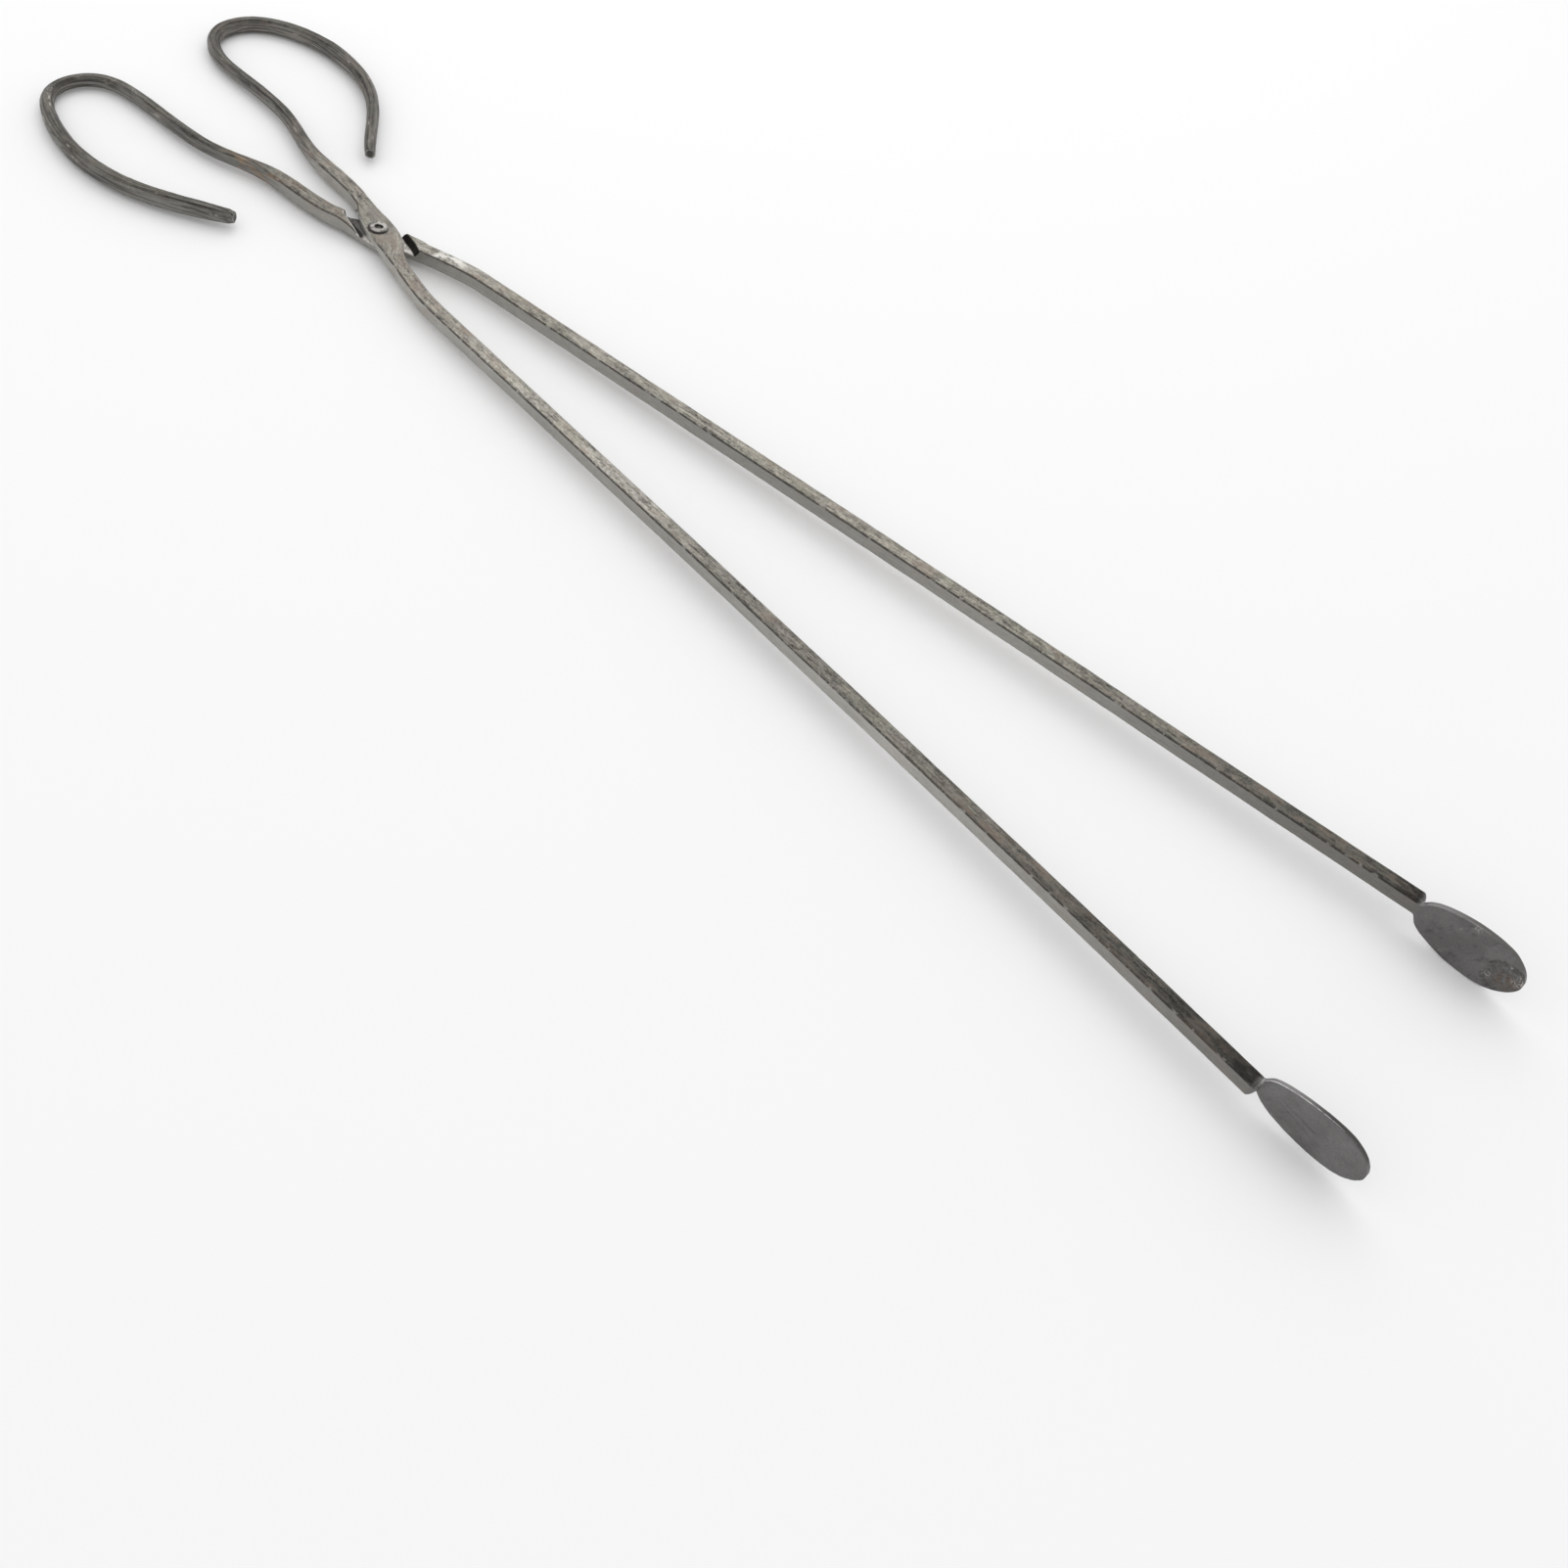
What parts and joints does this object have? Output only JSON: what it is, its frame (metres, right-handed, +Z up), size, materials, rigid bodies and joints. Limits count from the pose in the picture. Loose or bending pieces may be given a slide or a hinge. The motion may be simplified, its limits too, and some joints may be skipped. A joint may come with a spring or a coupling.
{
  "type": "blacksmith tongs",
  "caption": "Long-reined forged tongs with open loop handles, a half-lapped and riveted pivot, and an upright oval blade on the end of each arm.",
  "frame": {"origin": "middle of the underside of the whole tool at rest, in plan the centre of its bounding box", "axes": "+X along the tool from the loop handles to the blades, +Y across it towards the lower arm's blade, +Z up along the rivet"},
  "size_m": [0.8772, 0.1806, 0.0309],
  "materials": {
    "lower_arm": "dark forge scale, oiled, worn grey on the edges",
    "upper_arm": "dark forge scale, oiled, rubbed grey-brown near the rivet",
    "pivot_rivet": "bare steel, hammered over"
  },
  "bodies": {
    "lower_arm": {"lower_arm": "lower_arm", "pivot_rivet": "pivot_rivet"},
    "upper_arm": {"upper_arm": "upper_arm"}
  },
  "joints": [
    {"name": "jaw_pivot", "type": "hinge", "parent": "lower_arm", "child": "upper_arm", "pos_m": [-0.23325, -0.00083, 0.01547], "axis": [0, 0, 1], "range_deg": [-60, 10.4]}
  ]
}
